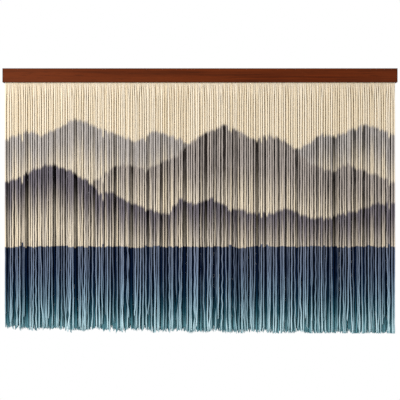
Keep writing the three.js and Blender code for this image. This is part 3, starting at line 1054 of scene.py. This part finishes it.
def turn_on_axis(name, place, profile, sides=28):
    """A round piece turned about the wall's normal, from (radius, distance in front of its head) steps."""
    x, y, z = place
    first_radius, first_reach = profile[0]
    bpy.ops.object.select_all(action="DESELECT")
    bpy.ops.mesh.primitive_circle_add(
        vertices=sides, radius=first_radius, fill_type="NGON",
        location=(x, y - first_reach, z), rotation=(-math.pi / 2, 0, 0))
    piece = keep_in_mesh(bpy.context.object, name)
    pick(piece, "FACE", lambda corner: True)
    for (before, start), (radius, reach_to) in zip(profile, profile[1:]):
        bpy.ops.mesh.extrude_region_move(TRANSFORM_OT_translate={"value": (0, start - reach_to, 0)})
        bpy.ops.transform.resize(
            value=(radius / before, 1, radius / before), center_override=(x, y - reach_to, z))
    bpy.ops.mesh.select_all(action="SELECT")
    bpy.ops.mesh.normals_make_consistent(inside=False)
    leave_editing()
    return piece


def make_rail_screws():
    """Six countersunk crosshead screws, one made in full and five copied from it."""
    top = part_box(SCREWS[0])[1].y
    place = (FIRST_SCREW_X, top, SCREW_HEIGHT)
    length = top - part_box(SCREWS[0])[0].y
    screw = turn_on_axis("board_screw_1", place, [
        (SCREW_HEAD_RADIUS * 0.9, 0), (SCREW_HEAD_RADIUS, 0.12 * MM), (SCREW_HEAD_RADIUS, 0.4 * MM),
        (1.9 * MM, 2.2 * MM), (1.9 * MM, length - 4 * MM), (0.3 * MM, length)])
    cut_cross(screw, place, 2.3 * MM, 0.75 * MM, 1.3 * MM)
    smooth_faces(screw, 40)
    for number, node in enumerate(SCREWS[1:], 2):
        move = (middle_x(node) - FIRST_SCREW_X, 0, 0)
        finish_piece(copy_to(screw, f"board_screw_{number}", move), zinc_steel, "rail", "zinc_steel", node)
    finish_piece(screw, zinc_steel, "rail", "zinc_steel", SCREWS[0])


def turn_about(piece, place, axis, angle):
    """Turns a whole piece about a point."""
    turn = Matrix.Translation(place) @ Matrix.Rotation(angle, 4, axis) @ Matrix.Translation(-Vector(place))
    piece.matrix_world = turn @ piece.matrix_world
    keep_in_mesh(piece, piece.name)


make_front_rail()
make_back_rail()
make_inner_woodwork()
make_rail_screws()
for node_name, wood in (("header_rod", birch), ("rod_saddle", walnut)):
    for material_slot in frame["nodes"][node_name].material_slots:
        material_slot.material = wood


# ---------------------------------------------------------------- hangers and bumpers on the back

JOINT_PLACES = {joint["name"]: joint["pos_m"] for joint in frame["joints"]}
RING_STOCK_RADIUS = 1 * MM
STRAP_METAL = 0.8 * MM


def make_strap(side):
    """A strip of sheet folded round the ring's bar, both ends down and under one screw."""
    low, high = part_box(f"hanger_strap_{side}")
    x, bar_y, bar_z = JOINT_PLACES[f"hanger_ring_{side}_turn"]
    bend = bar_y - low.y - STRAP_METAL / 2
    bpy.ops.object.select_all(action="DESELECT")
    bpy.ops.mesh.primitive_plane_add(
        size=1, location=((low.x + high.x) / 2, low.y + STRAP_METAL / 2, (low.z + bar_z) / 2),
        rotation=(math.pi / 2, 0, 0))
    bpy.context.object.scale = (high.x - low.x, bar_z - low.z, 1)
    piece = keep_in_mesh(bpy.context.object, f"folded_strap_{side}")
    pick(piece, "EDGE", lambda corner: corner.z > bar_z - 0.1 * MM)
    meet = math.acos((bar_y - (low.y + 1.5 * STRAP_METAL)) / bend)
    bpy.ops.mesh.spin(
        steps=20, angle=2 * math.pi - meet, center=(x, bar_y, bar_z), axis=(1, 0, 0))
    end_z = bar_z - bend * math.sin(meet)
    bpy.ops.mesh.extrude_region_move(TRANSFORM_OT_translate={"value": (0, 0, low.z - end_z)})
    bpy.ops.mesh.select_all(action="SELECT")
    bpy.ops.mesh.remove_doubles(threshold=0.02 * MM)
    bpy.ops.mesh.normals_make_consistent(inside=False)
    leave_editing()
    pick(piece, "VERT", lambda corner: corner.z < low.z + 0.1 * MM)
    bpy.ops.mesh.bevel(offset=3 * MM, segments=5, affect="VERTICES")
    leave_editing()
    select_only(piece)
    sheet = piece.modifiers.new("sheet_metal", "SOLIDIFY")
    sheet.thickness = STRAP_METAL - 0.02 * MM
    sheet.offset = 0
    bpy.ops.object.modifier_apply(modifier=sheet.name)
    ease_edges(piece, 0.12 * MM, 2)
    smooth_faces(piece, 30)
    finish_piece(piece, zinc_steel, "rail", "zinc_steel", f"hanger_strap_{side}")


def make_ring(side):
    """A D of round wire: the bow is spun first, then the sides, corners and bar are drawn out of its end."""
    low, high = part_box(f"hanger_ring_{side}")
    x, bar_y, bar_z = JOINT_PLACES[f"hanger_ring_{side}_turn"]
    half = (high.x - low.x) / 2 - RING_STOCK_RADIUS
    bow_z = bar_z + 4 * MM
    corner = 1.6 * MM
    bpy.ops.object.select_all(action="DESELECT")
    bpy.ops.mesh.primitive_circle_add(
        vertices=12, radius=RING_STOCK_RADIUS, location=(x + half, bar_y, bow_z))
    piece = keep_in_mesh(bpy.context.object, f"wire_ring_{side}")
    pick(piece, "EDGE", lambda corner: True)
    bpy.ops.mesh.spin(steps=20, angle=math.pi, center=(x, bar_y, bow_z), axis=(0, 1, 0))
    bpy.ops.mesh.extrude_region_move(TRANSFORM_OT_translate={"value": (0, 0, bar_z + corner - bow_z)})
    bpy.ops.mesh.spin(
        steps=5, angle=math.pi / 2, center=(x - half + corner, bar_y, bar_z + corner), axis=(0, 1, 0))
    bpy.ops.mesh.extrude_region_move(TRANSFORM_OT_translate={"value": (2 * (half - corner), 0, 0)})
    bpy.ops.mesh.spin(
        steps=5, angle=math.pi / 2, center=(x + half - corner, bar_y, bar_z + corner), axis=(0, 1, 0))
    bpy.ops.mesh.extrude_region_move(TRANSFORM_OT_translate={"value": (0, 0, bow_z - bar_z - corner)})
    bpy.ops.mesh.select_all(action="SELECT")
    bpy.ops.mesh.remove_doubles(threshold=0.02 * MM)
    bpy.ops.mesh.normals_make_consistent(inside=False)
    leave_editing()
    lean = math.asin((bar_y - RING_STOCK_RADIUS - low.y) / (high.z - bar_z - RING_STOCK_RADIUS))
    turn_about(piece, (x, bar_y, bar_z), "X", lean)
    smooth_faces(piece, 60)
    finish_piece(piece, zinc_steel, f"hanger_ring_{side}", "zinc_steel", f"hanger_ring_{side}")


def make_hanger_screw(side):
    """A pan-head crosshead screw through both ends of the strap."""
    low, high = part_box(f"hanger_screw_{side}")
    radius = (high.z - low.z) / 2
    place = ((low.x + high.x) / 2, high.y, (low.z + high.z) / 2)
    length = high.y - low.y
    screw = turn_on_axis(f"pan_screw_{side}", place, [
        (radius * 0.45, 0), (radius * 0.72, 0.15 * MM), (radius * 0.92, 0.55 * MM), (radius, 1.0 * MM),
        (radius, 1.6 * MM), (1.4 * MM, 1.6 * MM), (1.4 * MM, length - 3 * MM), (0.25 * MM, length)])
    cut_cross(screw, place, 1.7 * MM, 0.6 * MM, 1.1 * MM)
    smooth_faces(screw, 40)
    finish_piece(screw, zinc_steel, "rail", "zinc_steel", f"hanger_screw_{side}")


def make_bumper(side):
    """A die-cut felt block: round corners, edges pressed a little thinner than the middle."""
    low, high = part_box(f"wall_pad_{side}")
    piece = add_block(f"felt_bumper_{side}", low, high)
    pick(piece, "EDGE", lambda corner: True)
    upright = bmesh.from_edit_mesh(piece.data)
    for edge in upright.edges:
        run = edge.verts[0].co - edge.verts[1].co
        edge.select_set(abs(run.y) > 1 * MM)
    bmesh.update_edit_mesh(piece.data)
    bpy.ops.mesh.bevel(offset=3 * MM, segments=5)
    leave_editing()
    pick(piece, "FACE", lambda corner: corner.y > high.y - 0.1 * MM)
    for step in (1.0 * MM, 1.4 * MM):
        bpy.ops.mesh.inset(thickness=step, depth=0)
    leave_editing()
    rim = 0.4 * MM
    pick(piece, "VERT", lambda corner: corner.y > high.y - 0.1 * MM and outside(corner, low, high, 0.3 * MM))
    bpy.ops.transform.translate(value=(0, -rim, 0))
    leave_editing()
    ease_edges(piece, 0.5 * MM, 3)
    smooth_faces(piece, 50)
    finish_piece(piece, felt, "rail", "felt", f"wall_pad_{side}")


def outside(corner, low, high, margin):
    """Whether a point lies on a block's outline, seen from the wall, within a margin."""
    middle = ((low.x + high.x) / 2, (low.z + high.z) / 2)
    reach_x, reach_z = (high.x - low.x) / 2 - margin, (high.z - low.z) / 2 - margin
    past_x, past_z = abs(corner.x - middle[0]) > reach_x, abs(corner.z - middle[1]) > reach_z
    near_corner = abs(corner.x - middle[0]) + abs(corner.z - middle[1]) > reach_x + reach_z - 1.8 * MM
    return past_x or past_z or near_corner


for side_name in ("left", "right"):
    make_strap(side_name)
    make_ring(side_name)
    make_hanger_screw(side_name)
for side_name in ("left", "centre", "right"):
    make_bumper(side_name)


# ---------------------------------------------------------------- room and light


FLOOR_DROP = 0.6
FLOOR_RADIUS = 1.3


def add_floor():
    place = (0, 0, cad_low.z - FLOOR_DROP)
    bpy.ops.mesh.primitive_circle_add(vertices=96, radius=FLOOR_RADIUS, fill_type="NGON", location=place)
    floor = bpy.context.object
    floor.name = "studio_floor"
    material, tree, shader = new_material("pale_floor")
    coords = add_node(tree, "ShaderNodeTexCoord").outputs["Object"]
    speckle = noise(tree, coords, 40.0, 4.0)
    tree.links.new(ramp(tree, speckle, [(0.3, 0.84), (0.7, 0.9)]), shader.inputs["Base Color"])
    shader.inputs["Roughness"].default_value = 0.8
    floor.data.materials.append(material)


def add_soft_light(name, place, target, size, power):
    bpy.ops.object.light_add(type="AREA", location=place)
    lamp = bpy.context.object
    lamp.name = name
    lamp.data.size = size
    lamp.data.energy = power
    lamp.rotation_euler = (Vector(target) - Vector(place)).to_track_quat("-Z", "Y").to_euler()


def light_room():
    world = bpy.data.worlds.new("white_room")
    bpy.context.scene.world = world
    world.use_nodes = True
    tree = world.node_tree
    seen = tree.nodes["Background"]
    seen.inputs["Color"].default_value = (1, 1, 1, 1)
    seen.inputs["Strength"].default_value = 1.0
    cast = tree.nodes.new("ShaderNodeBackground")
    cast.inputs["Color"].default_value = (1, 1, 1, 1)
    cast.inputs["Strength"].default_value = 0.6
    path = tree.nodes.new("ShaderNodeLightPath")
    mix = tree.nodes.new("ShaderNodeMixShader")
    tree.links.new(path.outputs["Is Camera Ray"], mix.inputs[0])
    tree.links.new(cast.outputs[0], mix.inputs[1])
    tree.links.new(seen.outputs[0], mix.inputs[2])
    tree.links.new(mix.outputs[0], tree.nodes["World Output"].inputs["Surface"])
    middle = (0, 0, AIM_HEIGHT)
    add_soft_light("key", (-2.2, -2.3, -0.1), middle, 0.9, 76)
    add_soft_light("fill", (1.6, -2.4, -0.3), middle, 1.4, 16)
    add_soft_light("behind", (0.6, 2.4, 1.0), middle, 1.4, 40)


add_floor()
light_room()
bpy.context.scene.view_settings.view_transform = "Standard"
bpy.context.scene.view_settings.look = "None"
